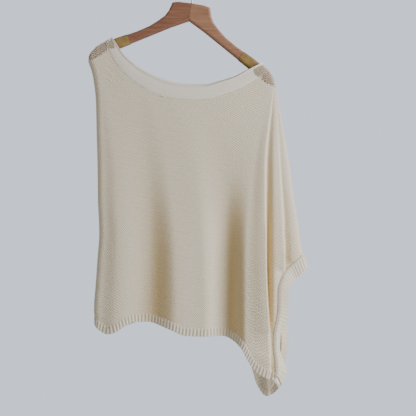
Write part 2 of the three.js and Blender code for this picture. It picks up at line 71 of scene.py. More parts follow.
def linear(hex_colour):
    """An sRGB hex colour as linear red, green, blue and alpha."""
    channels = [int(hex_colour[i:i + 2], 16) / 255 for i in (1, 3, 5)]
    return [c / 12.92 if c <= 0.04045 else ((c + 0.055) / 1.055) ** 2.4 for c in channels] + [1]


def new_material(name):
    """An empty material with its shader and output already joined."""
    material = bpy.data.materials.new(name)
    material.use_nodes = True
    return material, material.node_tree, material.node_tree.nodes["Principled BSDF"]


def add_node(tree, kind, settings=None, inputs=None):
    """One node with its settings. An input is a value or the output of another node."""
    node = tree.nodes.new(kind)
    for name, value in (settings or {}).items():
        setattr(node, name, value)
    for name, value in (inputs or {}).items():
        if isinstance(value, bpy.types.NodeSocket):
            tree.links.new(value, node.inputs[name])
        else:
            node.inputs[name].default_value = value
    return node


def colour_ramp(tree, factor, stops):
    """A colour ramp through the given places and hex colours."""
    ramp = add_node(tree, "ShaderNodeValToRGB", inputs={"Fac": factor})
    elements = ramp.color_ramp.elements
    for _ in range(len(stops) - 2):
        elements.new(0.5)
    for element, (place, hex_colour) in zip(elements, stops):
        element.position = place
        element.color = linear(hex_colour)
    return ramp.outputs["Color"]


def oiled_wood(look):
    """Growth lines 3 to 5 mm apart run along the arm, with fine short pores between them."""
    material, tree, shader = new_material(look["name"])
    place = add_node(tree, "ShaderNodeTexCoord").outputs["Object"]
    turned = add_node(tree, "ShaderNodeMapping", inputs={
        "Vector": place, "Rotation": (0, math.radians(look["turn"]), 0), "Scale": (12, 160, 160)})
    lines = add_node(tree, "ShaderNodeTexNoise", inputs={
        "Vector": turned.outputs["Vector"], "Scale": 1.2, "Detail": 4, "Distortion": 0.6})
    pores = add_node(tree, "ShaderNodeMapping", inputs={
        "Vector": place, "Rotation": (0, math.radians(look["turn"]), 0), "Scale": (90, 1500, 1500)})
    fine = add_node(tree, "ShaderNodeTexNoise", inputs={"Vector": pores.outputs["Vector"], "Scale": 1})
    grain = add_node(tree, "ShaderNodeMix", inputs={
        "Factor": 0.25, "A": lines.outputs["Fac"], "B": fine.outputs["Fac"]})
    colour = colour_ramp(tree, grain.outputs["Result"], [(0.3, look["late"]), (0.66, look["early"])])
    tree.links.new(colour, shader.inputs["Base Color"])
    bump = add_node(tree, "ShaderNodeBump", inputs={
        "Strength": 0.25, "Distance": 0.0004, "Height": fine.outputs["Fac"]})
    tree.links.new(bump.outputs["Normal"], shader.inputs["Normal"])
    shader.inputs["Roughness"].default_value = 0.48
    return material


def repaint(node, material):
    """A CAD node keeps its shape and gets a better finish."""
    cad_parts[node].data.materials.clear()
    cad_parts[node].data.materials.append(material)


def arm_end(name, middle, half_sizes, tilt, material):
    """The broad rounded end of an arm, which fills the shoulder of what hangs on it."""
    bpy.ops.object.select_all(action="DESELECT")
    bpy.ops.mesh.primitive_uv_sphere_add(segments=48, ring_count=24, radius=1)
    end = bpy.context.object
    end.name = name
    end.scale = [size / 1000 for size in half_sizes]
    end.rotation_euler = (0, math.radians(tilt), 0)
    end.location = (middle[0] / 1000, 0, -middle[1] / 1000)
    bpy.ops.object.transform_apply(location=True, rotation=True, scale=True)
    bpy.ops.object.shade_smooth()
    end.data.materials.append(material)
    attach(end, "root")
    return end


dark_wood = oiled_wood(WOOD_DARK)
light_wood = oiled_wood(WOOD_LIGHT)
repaint("hanger_arm_left", dark_wood)
repaint("hanger_arm_right", light_wood)
arm_end("arm_end_left", (-223, 194.5), (31, 6.5, 11.5), -38, dark_wood)
arm_end("arm_end_right", (159.5, 250.5), (31, 6.5, 13.5), 47.5, light_wood)


# Grip sleeves: short ochre non-slip tubes of brushed foam, pushed over both arms so that the
# neck of a garment can't slide off.

def brushed_foam():
    """Matte ochre with a fine nap, slightly uneven where hands have rubbed it."""
    material, tree, shader = new_material("brushed_ochre_foam")
    place = add_node(tree, "ShaderNodeTexCoord").outputs["Object"]
    nap = add_node(tree, "ShaderNodeTexNoise", inputs={"Vector": place, "Scale": 900, "Detail": 2})
    worn = add_node(tree, "ShaderNodeTexNoise", inputs={"Vector": place, "Scale": 60})
    mixed = add_node(tree, "ShaderNodeMix", inputs={
        "Factor": 0.5, "A": nap.outputs["Fac"], "B": worn.outputs["Fac"]})
    colour = colour_ramp(tree, mixed.outputs["Result"], [(0.35, "#7e6638"), (0.65, "#a18552")])
    tree.links.new(colour, shader.inputs["Base Color"])
    bump = add_node(tree, "ShaderNodeBump", inputs={
        "Strength": 0.4, "Distance": 0.0004, "Height": nap.outputs["Fac"]})
    tree.links.new(bump.outputs["Normal"], shader.inputs["Normal"])
    shader.inputs["Roughness"].default_value = 0.95
    return material


foam = brushed_foam()
repaint("grip_sleeve_left", foam)
repaint("grip_sleeve_right", foam)


# Hook: 3.4 mm drawn steel wire, bent cold to a round crown and screwed into the head.

def drawn_steel():
    """Bright wire with faint drawing marks along it."""
    material, tree, shader = new_material("drawn_steel_wire")
    place = add_node(tree, "ShaderNodeTexCoord").outputs["Object"]
    marks = add_node(tree, "ShaderNodeTexNoise", inputs={"Vector": place, "Scale": 700})
    rough = add_node(tree, "ShaderNodeMapRange", inputs={
        "Value": marks.outputs["Fac"], "To Min": 0.22, "To Max": 0.4})
    tree.links.new(rough.outputs["Result"], shader.inputs["Roughness"])
    shader.inputs["Base Color"].default_value = linear("#8d8f93")
    shader.inputs["Metallic"].default_value = 1
    return material


repaint("hanger_hook", drawn_steel())


# Front of the poncho: one piece of loose plain knit in thick and thin ivory yarn, wrong side
# out, so that its courses show as fine level ridges. It hangs from the hanger's two ends,
# closed at the left, and falls in long soft folds that gather into the wing at the right.

MM = 0.001
WALL = 2.0                 # thickness of the knit
SEAM_GAP = 0.3             # space left between the front and the back along a seam
COURSE = 6.2               # height of one course of stitches
WALE = 5.2                 # width of one stitch
SHOULDER_ROUND = 10        # drop over which the cloth turns over the hanger
SIDE_ROLL = 14             # width over which the cloth turns at the left side
RIB_WIDTH = 16             # width of the rib at the hem
FLAT_EDGE = 7              # width along the arm edge that follows the edge, without folds
EDGE_CALM = 13             # width beside it over which the folds die out
CALM_START = 20            # drop over which that begins, below the corner of the wing
SEAM_OPENS = 50            # drop over which the closed right side opens
FOLD_DROPS = [287, 472, 677, 880]      # drops at which the fold tables give x and depth
ROLL_DEPTHS = [11, 12, 14, 16]
LEFT_SIDE = [(218, -250), (226, -247), (237, -243), (250, -239.5), (266, -236.5), (307, -232),
             (384, -230), (461, -228), (540, -227), (617, -224), (675, -228), (733, -232),
             (790, -236), (828, -234)]
OVERARM = [(269, 185), (315, 193), (384, 205), (461, 218), (530, 227), (579, 235), (656, 246),
           (668, 250)]
SHOULDER_LINE = [(-250, 218), (-249, 208), (-238, 192), (-222, 178), (-209, 172), (-194, 165),
                 (-106, 137), (103, 189), (154, 224), (169, 240), (179, 255), (185, 269)]
NECK_JOIN = [(-209, 172), (-178, 229), (-136, 268), (-92, 293), (-50, 303), (-7, 306), (27, 305),
             (61, 295), (102, 280), (135, 261), (169, 240)]
FRONT_FOLDS = [
    ("left_ridge", [-209, -184, -176, -185], [11, 15, 20, 23]),
    ("left_trough", [-146, -114, -104, -108], [12, 12, 12, 12.5]),
    ("mid_rise", [-95, -62, -44, -42], [12.5, 16, 28, 34]),
    ("mid_ridge", [-45, -5, 14, 18], [13, 17, 27, 32]),
    ("mid_trough", [42, 61, 70, 74], [13, 13, 13, 13.5]),
    ("main_ridge", [169, 132, 116, 114], [11, 17, 37, 44]),
    ("main_edge", [177, 158, 158, 167], [10, 20, 42, 50]),
    ("recess", [180, 165, 165, 171], [8.5, 12, 14, 36]),
    ("lobe", [182, 178, 178, 177], [7.5, 17, 25, 38]),
    ("lobe_edge", [183, 192, 202, 179], [7, 15, 24, 37]),
    ("inner_recess", [184, 197, 207, 180.2], [6, 9, 9, 36.5]),
    ("wing_crest", [184.7, 203, 222, 181.4], [5, 9, 13, 36]),
]
FRONT_HEM = [
    (-234, 828), (-220, 840), (-202, 848), (-184, 843), (-161, 829), (-139, 820), (-109, 820),
    (-82, 827), (-52, 837), (-26, 848), (5, 850), (54, 851), (84, 860), (103, 875), (116, 899),
    (133, 924), (154, 937), (177, 948), (194, 964)]
# Arm edge: x, drop and depth where the rib joins the cloth, then x, drop and depth of its edge
FRONT_CUFF = [
    (250, 668, 0.15, 258, 696, 0.15), (247, 671, 3, 255, 699, 3), (234, 683, 8, 244, 710, 7),
    (219, 697, 11, 231, 720, 9), (203, 716, 20, 219, 733, 16), (194, 748, 26, 211, 755, 22),
    (193, 786, 28, 211, 790, 20), (189, 813, 30, 205, 822, 18), (183, 844, 33, 192, 854, 16),
    (182, 873, 34, 191, 882, 15), (185, 902, 36, 201, 912, 16), (186, 919, 38, 207, 932, 18),
    (184, 937, 40, 196, 962, 20)]


def smooth_through(at, values):
    """A smooth curve through given points that never overshoots them."""
    at = np.asarray(at, float)
    values = np.asarray(values, float)
    slope = np.diff(values) / np.diff(at)
    product = slope[:-1] * slope[1:]
    total = slope[:-1] + slope[1:]
    inner = np.where(product > 0, 2 * product / np.where(total == 0, 1, total), 0)
    tangent = np.concatenate([slope[:1], inner, slope[-1:]])

    def curve(position):
        position = np.clip(position, at[0], at[-1])
        i = np.clip(np.searchsorted(at, position, side="right") - 1, 0, len(at) - 2)
        width = at[i + 1] - at[i]
        t = (position - at[i]) / width
        rest = 1 - t
        return (values[i] * (1 + 2 * t) * rest ** 2 + values[i + 1] * t * t * (3 - 2 * t)
                + width * t * rest * (tangent[i] * rest - tangent[i + 1] * t))
    return curve


def through(pairs):
    """A smooth curve through (position, value) pairs."""
    return smooth_through([p[0] for p in pairs], [p[1] for p in pairs])


def quarter_round(t):
    """A rounded edge: steep at 0 and level at 1."""
    return np.sqrt(np.clip(1 - (1 - t) ** 2, 0, 1))


def soft_step(t):
    """A slope that is level at 0 and at 1."""
    return (1 - np.cos(np.pi * t)) / 2


left_side = through(LEFT_SIDE)
shoulder_line = through(SHOULDER_LINE)


def make_side(facing, folds, hem, cuff, neck_rise, hem_flare):
    """All that differs between the front and the back of the garment."""
    cuff = np.array(cuff, float)
    share = np.linspace(0, 1, len(NECK_JOIN))
    rise = neck_rise * np.sin(np.pi * share) ** 0.5
    neck_x = [p[0] for p in NECK_JOIN]
    side = {
        "facing": facing, "cuff": cuff, "hem": hem, "hem_flare": hem_flare, "neck_rise": neck_rise,
        "neck_join": smooth_through(neck_x, np.array([p[1] for p in NECK_JOIN]) - rise),
        "right_x": smooth_through([p[0] for p in OVERARM] + list(cuff[1:, 1]),
                                  [p[1] for p in OVERARM] + list(cuff[1:, 0])),
        "right_depth": smooth_through(cuff[:, 1], cuff[:, 2]),
        "fold_x": [smooth_through(FOLD_DROPS, x) for _, x, _ in folds],
        "fold_depth": [smooth_through(FOLD_DROPS, depth) for _, _, depth in folds],
        "roll_depth": smooth_through(FOLD_DROPS, ROLL_DEPTHS),
    }
    join = [(left_side(hem[0][1] - RIB_WIDTH), hem[0][1] - RIB_WIDTH)]
    for before, here, after in zip(hem, hem[1:], hem[2:]):
        across, down = after[0] - before[0], after[1] - before[1]
        length = math.hypot(across, down)
        join.append((here[0] + RIB_WIDTH * down / length / 2,
                     here[1] - RIB_WIDTH * (1 + across / length) / 2))
    join.append((cuff[-1, 0], cuff[-1, 1]))
    side["hem_join"] = join
    side["hem_top"] = through(join)
    return side


def openness(side, drop, over):
    """0 where the right side is closed over the arm, 1 where it hangs open."""
    return np.clip((drop - side["cuff"][0, 1]) / over, 0, 1)


def fold_lines(side, drop):
    """Places and depths of the fold lines at given heights, from the side seam to the wing."""
    left = left_side(drop)
    right = side["right_x"](drop)
    edge_depth = side["right_depth"](drop)
    xs = [left, left + SIDE_ROLL]
    depths = [np.full_like(drop, SEAM_GAP / 2), side["roll_depth"](drop)]
    count = len(side["fold_x"])
    for i, (fold_x, fold_depth) in enumerate(zip(side["fold_x"], side["fold_depth"])):
        x = np.minimum(fold_x(drop), right - 1.2 * (count - i))
        calm = openness(side, drop, CALM_START) * (1 - np.clip((right - x - FLAT_EDGE) / EDGE_CALM, 0, 1))
        xs.append(x)
        depths.append(fold_depth(drop) * (1 - calm) + edge_depth * calm)
    xs.append(right)
    depths.append(edge_depth)
    return np.array(xs), np.array(depths)


def cloth_point(side, index, t, drop):
    """Points of the outer surface by their place between fold lines, and their height."""
    xs, depths = fold_lines(side, drop)
    pick = lambda table, i: np.take_along_axis(table, i[None], 0)[0]
    x = pick(xs, index) * (1 - t) + pick(xs, index + 1) * t
    start, end = pick(depths, index), pick(depths, index + 1)
    depth = start + (end - start) * np.where(index == 0, quarter_round(t), soft_step(t))
    closed = end + (start - end) * quarter_round(1 - t)
    opened = openness(side, drop, SEAM_OPENS)
    last = index == len(xs) - 2
    depth = np.where(last, closed * (1 - opened) + depth * opened, depth)
    depth = depth * quarter_round(np.clip((drop - shoulder_line(x)) / SHOULDER_ROUND, 0, 1))
    return np.stack([x, side["facing"] * np.maximum(depth, SEAM_GAP / 2), -drop], -1)


def cloth_point_at(side, x, drop):
    """The same, found by the place across the garment."""
    xs, _ = fold_lines(side, drop)
    index = np.clip((x[None] > xs[1:-1]).sum(0), 0, len(xs) - 2)
    start = np.take_along_axis(xs, index[None], 0)[0]
    end = np.take_along_axis(xs, index[None] + 1, 0)[0]
    t = np.clip((x - start) / (end - start), 0, 1)
    point = cloth_point(side, index, t, drop)
    point[..., 0] = x
    return point


def cloth_columns(side, spacing):
    """Columns of the sheet between the fold lines, about evenly spaced along the cloth."""
    heights = np.array([300.0, 420, 540, 660, 780, 880])
    xs, depths = fold_lines(side, heights)
    gaps = np.hypot(np.diff(xs, axis=0), np.diff(depths, axis=0)).max(1)
    columns = []
    for index, gap in enumerate(gaps):
        count = max(4, round(gap / spacing))
        for k in range(count):
            t = k / count
            if index == 0:
                t = 1 - math.cos(t * math.pi / 2)
            if index == len(gaps) - 1:
                t = math.sin(t * math.pi / 2)
            columns.append((index, t))
    columns.append((len(gaps) - 1, 1.0))
    return np.array([c[0] for c in columns]), np.array([c[1] for c in columns])


def grid_normals(points, facing):
    """Outward directions on a grid of points."""
    across = np.gradient(points, axis=0)
    along = np.gradient(points, axis=1)
    normal = np.cross(across, along)
    length = np.linalg.norm(normal, axis=-1, keepdims=True)
    normal = normal / np.where(length == 0, 1, length)
    return normal * np.where(normal[..., 1:2] * facing < 0, -1, 1)


def cloth_grid(side, spacing, rows_per_course):
    """Points and stitch coordinates of a whole panel, one row of points after another along
    the courses. The courses sag under the neck, lean into the wing and follow the hem, and
    rows that lie beyond the panel's edge fall together on the edge."""
    index, t = cloth_columns(side, spacing)
    neck, hem = side["neck_join"], side["hem_top"]
    base = np.arange(120, 900, COURSE / rows_per_course)
    columns, rows = len(index), len(base)
    index2 = np.repeat(index[:, None], rows, 1)
    t2 = np.repeat(t[:, None], rows, 1)
    level = np.repeat(base[None], columns, 0)
    neck_sag = 0.42 * np.exp(-(level - 200) / 130)
    hem_pull = np.clip((level - 430) / 400, 0, 1) ** 1.5
    tilt = smooth_through([-235, -200, -130, -50, 40, 120, 250], [0, 3, 14, 25, 32, 33, 33])
    drop = level.copy()
    for _ in range(14):
        x = cloth_point(side, index2, t2, drop)[..., 0]
        on_neck = (x > NECK_JOIN[0][0]) & (x < NECK_JOIN[-1][0])
        top = np.where(on_neck, neck(x), shoulder_line(x))
        bottom = hem(x)
        lean = 0.55 * np.clip(x - 172, 0, 60) * np.clip((level - 330) / 250, 0, 1)
        course = level + tilt(x) * (1 - hem_pull) + lean
        course = course + neck_sag * (neck(x) - 172) + hem_pull * (bottom - 832)
        drop = np.clip(course, top + 4, bottom)
    near_top = np.array([0, 0.15, 0.6, 1.3, 2.4])
    top_index = np.repeat(index[:, None], len(near_top), 1)
    top_t = np.repeat(t[:, None], len(near_top), 1)
    top_drop = top[:, :1] + near_top
    for _ in range(14):
        x = cloth_point(side, top_index, top_t, top_drop)[..., 0]
        on_neck = (x > NECK_JOIN[0][0]) & (x < NECK_JOIN[-1][0])
        top_drop = np.where(on_neck, neck(x), shoulder_line(x)) + near_top
    points = np.concatenate([cloth_point(side, top_index, top_t, top_drop),
                             cloth_point(side, index2, t2, drop)], 1)
    middle = points[:, points.shape[1] // 2]
    steps = np.linalg.norm(np.diff(middle, axis=0), axis=-1)
    across = np.concatenate([[0], np.cumsum(steps)])
    course_row = np.concatenate([np.full(len(near_top), base[0] - COURSE), base])
    stitches = np.stack(np.broadcast_arrays(across[:, None], course_row[None]), -1)
    return points, stitches


def knit_relief(points, stitches, facing, seed):
    """Courses stand up in soft ridges, thicker and thinner along the uneven yarn."""
    rng = np.random.default_rng(seed)
    normals = grid_normals(points, facing)
    columns, rows = points.shape[:2]
    rough = rng.normal(size=(columns, rows))
    slub = rough.copy()
    for shift in (-2, -1, 1, 2):
        slub += np.roll(rough, shift, 0)
    phase = 2 * np.pi * stitches[..., 1] / COURSE
    height = 0.09 * np.cos(phase) * (1 + 0.7 * slub / 2.2) + 0.11 * slub / 2.2
    calm = np.clip(np.abs(points[..., 1]) / 6, 0, 1)
    return points + normals * (height * calm)[..., None]


def painted_fold_shade(points, facing):
    """Painted warm shade: how far the cloth's colour is tinted warmer and darker, standing in for
    light come through other cloth: more where it turns away to the left of a fold and in the
    bottom of a narrow one."""
    normals = grid_normals(points, facing)
    depth = np.abs(points[..., 1])
    reach = 9
    padded = np.pad(depth, ((reach, reach), (0, 0)), mode="edge")
    around = sum(padded[k:k + len(depth)] for k in range(2 * reach + 1)) / (2 * reach + 1)
    turned = np.clip((-normals[..., 0] - 0.06) / 0.32, 0, 1)
    sunk = np.clip((around - depth) / 9, 0, 1)
    off_side = np.clip((points[..., 0] + 205) / 25, 0, 1)
    # Painted shade: left-facing flanks and fold bottoms get more of the warm tint, none at the left side
    # seam.
    painted_shade = np.clip(0.75 * turned + 0.9 * sunk, 0, 1) * off_side
    for _ in range(6):
        padded = np.pad(painted_shade, ((1, 1), (0, 0)), mode="edge")
        painted_shade = (padded[:-2] + 2 * padded[1:-1] + padded[2:]) / 4
    return painted_shade


def sheet_object(name, points, stitches, facing, painted_shade, rising=False, keep=None):
    """A sheet of knit with its real thickness, made from a grid of points in millimetres."""
    columns, rows = points.shape[:2]
    corner = lambda i, j: i * rows + j
    faces = []
    for i in range(columns - 1):
        for j in range(rows - 1):
            if keep is not None and not keep[i, j]:
                continue
            quad = (corner(i, j), corner(i, j + 1), corner(i + 1, j + 1), corner(i + 1, j))
            faces.append(quad if (facing < 0) != rising else quad[::-1])
    mesh = bpy.data.meshes.new(name)
    mesh.from_pydata((points.reshape(-1, 3) * MM).tolist(), [], faces)
    # The painted warm shade of the folds is stored as a point attribute, and the knit's colour is tinted
    # by it.
    glow = mesh.attributes.new("painted_fold_shade", "FLOAT", "POINT")
    glow.data.foreach_set("value", np.broadcast_to(painted_shade, (columns, rows)).astype(np.float32).ravel())
    layer = mesh.uv_layers.new(name="Stitches")
    order = np.empty(len(mesh.loops), dtype=np.int32)
    mesh.loops.foreach_get("vertex_index", order)
    layer.uv.foreach_set("vector", (stitches.reshape(-1, 2)[order] * MM).astype(np.float32).ravel())
    build = bmesh.new()
    build.from_mesh(mesh)
    bmesh.ops.remove_doubles(build, verts=build.verts, dist=2e-5)
    bmesh.ops.dissolve_degenerate(build, dist=1e-5, edges=build.edges)
    loose = [v for v in build.verts if not v.link_faces]
    bmesh.ops.delete(build, geom=loose, context="VERTS")
    build.to_mesh(mesh)
    build.free()
    sheet = bpy.data.objects.new(name, mesh)
    bpy.context.collection.objects.link(sheet)
    wall = sheet.modifiers.new("wall", "SOLIDIFY")
    wall.thickness = WALL * MM
    wall.offset = -1
    apply_modifiers(sheet)
    keep_own_side(sheet, facing)
    bpy.ops.object.shade_smooth_by_angle(angle=math.radians(55))
    return sheet


def apply_modifiers(piece):
    """The piece gets its final mesh and stays the active object."""
    bpy.ops.object.select_all(action="DESELECT")
    piece.select_set(True)
    bpy.context.view_layer.objects.active = piece
    for modifier in list(piece.modifiers):
        bpy.ops.object.modifier_apply(modifier=modifier.name)


def keep_own_side(sheet, facing):
    """No point of one half crosses the plane in which the front and the back meet."""
    places = np.empty(len(sheet.data.vertices) * 3, dtype=np.float32)
    sheet.data.vertices.foreach_get("co", places)
    places = places.reshape(-1, 3)
    places[:, 1] = facing * np.maximum(facing * places[:, 1], 0.1 * MM)
    sheet.data.vertices.foreach_set("co", places.ravel())
    sheet.data.update()


# The darkest colour is painted shade between the loops, the palest a painted highlight on raised loops,
# the middle the yarn's own ivory, and the last the tint of the painted warm shade in the folds.
KNIT = {"name": "loose_plain_knit_ivory_slub", "painted_hollow_shade": "#cdc09e", "body": "#e2d7bd",
        "crest": "#f2ead6", "through": "#efdaac", "course": COURSE, "wale": WALE,
        "depth": 0.0011, "uneven": 0.45, "rib": 0, "rib_pitch": 8}


def knitted(look):
    """Uneven matte yarn in two interlocked waves to a course, coloured by its height: a painted
    highlight where a loop stands up, painted shade between the loops and in rib furrows, with
    the thick and thin yarn's own uneven tone mixed in, and a painted warm shade in the folds."""
    material, tree, shader = new_material(look["name"])

    def math_node(operation, first, second=0.5, third=0.5):
        return add_node(tree, "ShaderNodeMath", {"operation": operation},
                        {0: first, 1: second, 2: third}).outputs["Value"]

    stitches = add_node(tree, "ShaderNodeUVMap", {"uv_map": "Stitches"}).outputs["UV"]
    course = look["course"] * MM
    wale = look["wale"] * MM
    split = add_node(tree, "ShaderNodeSeparateXYZ", inputs={"Vector": stitches})
    drift = add_node(tree, "ShaderNodeTexNoise", inputs={"Vector": stitches, "Scale": 55, "Detail": 1})
    shake = add_node(tree, "ShaderNodeTexNoise", inputs={
        "Vector": stitches, "Scale": 0.9 / wale, "Detail": 1})
    down = math_node("MULTIPLY_ADD", drift.outputs["Fac"], 0.7 * course, split.outputs["Y"])
    down = math_node("MULTIPLY_ADD", shake.outputs["Fac"], 0.35 * course, down)
    courses = math_node("MULTIPLY", down, 2 * math.pi / course)
    turn = math_node("MULTIPLY", split.outputs["X"], 2 * math.pi / wale)
    swing = math_node("COSINE", turn)
    upper = math_node("COSINE", math_node("MULTIPLY_ADD", swing, 1.25, courses))
    shifted = math_node("ADD", courses, math.pi)
    lower = math_node("COSINE", math_node("MULTIPLY_ADD", swing, -1.25, shifted))
    loops = math_node("MAXIMUM", upper, math_node("MULTIPLY", lower, 0.8))
    loops = math_node("MULTIPLY_ADD", loops, 0.5, 0.45)
    stretched = add_node(tree, "ShaderNodeMapping", inputs={
        "Vector": stitches, "Scale": (1 / (0.9 * wale), 1 / (0.4 * course), 1)})
    slub = add_node(tree, "ShaderNodeTexNoise", inputs={
        "Vector": stretched.outputs["Vector"], "Scale": 1, "Detail": 3, "Roughness": 0.65})
    # The rib furrows are painted darker by this wave through the colour below, as well as bumped.
    ribs = math_node("COSINE", math_node("MULTIPLY", split.outputs["X"],
                                         2 * math.pi / (look["rib_pitch"] * MM)))
    ribs = math_node("MULTIPLY_ADD", ribs, 0.5, 0.5)
    relief = add_node(tree, "ShaderNodeMix", inputs={
        "Factor": look["uneven"], "A": loops, "B": slub.outputs["Fac"]})
    height = add_node(tree, "ShaderNodeMix", inputs={
        "Factor": look["rib"], "A": relief.outputs["Result"], "B": ribs}).outputs["Result"]
    # Painted shade and highlight: the colour follows the height, darker in the hollows between loops and
    # rib furrows and paler on raised loops, mixed with the yarn's own slub tone.
    colour = colour_ramp(tree, height, [
        (0.3, look["painted_hollow_shade"]), (0.52, look["body"]), (0.78, look["crest"])])
    # Painted warm shade: the colour is multiplied towards the warm 'through' tint where the painted fold
    # shade attribute is high.
    painted_shade = add_node(tree, "ShaderNodeAttribute", {"attribute_name": "painted_fold_shade"})
    painted_warm_shade_colour = add_node(tree, "ShaderNodeMix", {"data_type": "RGBA", "blend_type": "MULTIPLY"}, {
        "Factor": painted_shade.outputs["Fac"], 6: colour, 7: linear(look["through"])})
    tree.links.new(painted_warm_shade_colour.outputs[2], shader.inputs["Base Color"])
    bump = add_node(tree, "ShaderNodeBump", inputs={
        "Strength": 0.8, "Distance": look["depth"], "Height": height})
    tree.links.new(bump.outputs["Normal"], shader.inputs["Normal"])
    shader.inputs["Roughness"].default_value = 0.85
    shader.inputs["Sheen Weight"].default_value = 0.25
    shader.inputs["Sheen Roughness"].default_value = 0.5
    return material


def inside_outline(corners, x, drop):
    """Which places lie inside a closed outline."""
    within = np.zeros(np.shape(x), bool)
    for (x1, d1), (x2, d2) in zip(corners, corners[1:] + corners[:1]):
        crosses = (drop < d1) != (drop < d2)
        reach = x1 + (drop - d1) * (x2 - x1) / (d2 - d1 if d2 != d1 else 1)
        within ^= crosses & (x < reach)
    return within


def yarn_tube(line, normals, radius, sides=5):
    """Corners and faces of a round yarn along a line of points."""
    along = np.gradient(line, axis=0)
    along /= np.linalg.norm(along, axis=1, keepdims=True)
    across = np.cross(along, normals)
    across /= np.linalg.norm(across, axis=1, keepdims=True)
    up = np.cross(across, along)
    count = len(line)
    turn = np.arange(sides) * 2 * np.pi / sides
    ring = (across[:, None] * np.cos(turn)[None, :, None] + up[:, None] * np.sin(turn)[None, :, None])
    corners = (line[:, None] + radius * ring).reshape(-1, 3)
    faces = []
    for i in range(count - 1):
        for k in range(sides):
            n = (k + 1) % sides
            faces.append((i * sides + k, i * sides + n, (i + 1) * sides + n, (i + 1) * sides + k))
    faces.append(tuple(range(sides))[::-1])
    faces.append(tuple((count - 1) * sides + k for k in range(sides)))
    return corners, faces


def open_knit(name, side, zone, course, wale, yarn, slope, lift=0.0):
    """Real loops of yarn, one row of interlocked loops after another, where the knit is pulled
    open over the hanger's end and the wood shows through it."""
    drops = [p[1] for p in zone]
    left, right = min(p[0] for p in zone), max(p[0] for p in zone)
    corners, faces, total = [], [], 0
    steps = 14
    for row, level in enumerate(np.arange(min(drops) - 60, max(drops) + 60, course)):
        stitch = np.arange(0, (right - left) / wale, 1 / steps)
        x = left + wale * stitch + 0.17 * wale * np.sin(4 * np.pi * stitch)
        drop = level + slope * (x - left) + 0.62 * course * np.cos(2 * np.pi * stitch)
        drop = drop + 0.35 * np.sin(1.7 * row + 2.3 * stitch)
        inside = inside_outline(zone, x, drop) & (drop > shoulder_line(x) + 0.2)
        inside &= (x > left_side(drop) + 0.5) & (x < side["right_x"](drop) - 0.5)
        point = cloth_point_at(side, x, drop)
        beside = cloth_point_at(side, x + 0.5, drop)
        below = cloth_point_at(side, x, drop + 0.5)
        normal = np.cross(beside - point, below - point)
        normal /= np.maximum(np.linalg.norm(normal, axis=1, keepdims=True), 1e-6)
        normal *= np.where(normal[:, 1:2] * side["facing"] < 0, -1, 1)
        point = point + normal * (lift - yarn + 0.3 * np.cos(4 * np.pi * stitch))[:, None]
        point[:, 1] = side["facing"] * np.maximum(side["facing"] * point[:, 1], yarn + 0.1)
        starts = np.flatnonzero(inside & ~np.roll(inside, 1) | (inside & (stitch == 0)))
        for start in starts:
            end = start
            while end < len(inside) and inside[end]:
                end += 1
            if end - start < 5:
                continue
            tube, tube_faces = yarn_tube(point[start:end], normal[start:end], yarn)
            corners.append(tube)
            faces += [tuple(c + total for c in face) for face in tube_faces]
            total += len(tube)
    mesh = bpy.data.meshes.new(name)
    mesh.from_pydata((np.concatenate(corners) * MM).tolist(), [], faces)
    mesh.polygons.foreach_set("use_smooth", [True] * len(mesh.polygons))
    build = bmesh.new()
    build.from_mesh(mesh)
    bmesh.ops.recalc_face_normals(build, faces=build.faces)
    build.to_mesh(mesh)
    build.free()
    loops = bpy.data.objects.new(name, mesh)
    bpy.context.collection.objects.link(loops)
    return loops


def closed_cells(grid):
    """The cells of a panel that lie outside the open knit."""
    middle = (grid[:-1, :-1] + grid[1:, 1:]) / 2
    x, drop = middle[..., 0], -middle[..., 2]
    return ~(inside_outline(LEFT_OPEN, x, drop) | inside_outline(RIGHT_OPEN, x, drop))


def spun_yarn():
    """Matte ivory yarn with faint twist."""
    material, tree, shader = new_material("spun_ivory_yarn")
    place = add_node(tree, "ShaderNodeTexCoord").outputs["Object"]
    twist = add_node(tree, "ShaderNodeTexNoise", inputs={"Vector": place, "Scale": 900})
    colour = colour_ramp(tree, twist.outputs["Fac"], [(0.35, "#d8ccb0"), (0.65, "#efe6d2")])
    tree.links.new(colour, shader.inputs["Base Color"])
    shader.inputs["Roughness"].default_value = 0.85
    return material


LOOP_COURSE = 5.2          # height of a row of loops
LOOP_WALE = 5.6            # width of a loop
LOOP_YARN = 0.5            # radius of the yarn
LEFT_OPEN = [(-256, 221), (-256, 190), (-215, 160), (-200, 160), (-200, 189), (-216, 205), (-236, 216)]
RIGHT_OPEN = [(150, 249), (169, 236), (182, 240), (194, 262), (194, 287), (183, 282), (166, 272),
              (150, 262)]
BAND_LEFT_OPEN = [(-214, 168), (-196, 160), (-189, 176), (-186, 192), (-200, 192)]
BAND_RIGHT_OPEN = [(133, 236), (148, 224), (158, 222), (174, 240), (150, 256), (142, 258),
                   (133, 247)]
ivory_yarn = spun_yarn()
ivory_knit = knitted(KNIT)
front = make_side(-1, FRONT_FOLDS, FRONT_HEM, FRONT_CUFF, 0, -20)
front_grid, stitches = cloth_grid(front, 5.5, 3)
front_painted_shade = painted_fold_shade(front_grid, -1)
front_knit = sheet_object("front_knit", knit_relief(front_grid, stitches, -1, 7), stitches, -1,
                          front_painted_shade, keep=closed_cells(front_grid))
front_knit.data.materials.append(ivory_knit)
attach(front_knit, "root")
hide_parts("front_panel")
front_loops = [
    open_knit("front_left_open_knit", front, LEFT_OPEN, LOOP_COURSE, LOOP_WALE, LOOP_YARN, 0.25),
    open_knit("front_right_open_knit", front, RIGHT_OPEN, LOOP_COURSE, LOOP_WALE, LOOP_YARN, 0.1)]
for loops in front_loops:
    loops.data.materials.append(ivory_yarn)
    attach(loops, "root")
    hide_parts("front_panel")


# Back of the poncho: the same knit. Its neck stands a finger's width higher, and its lowest
# corner hangs below the front's.

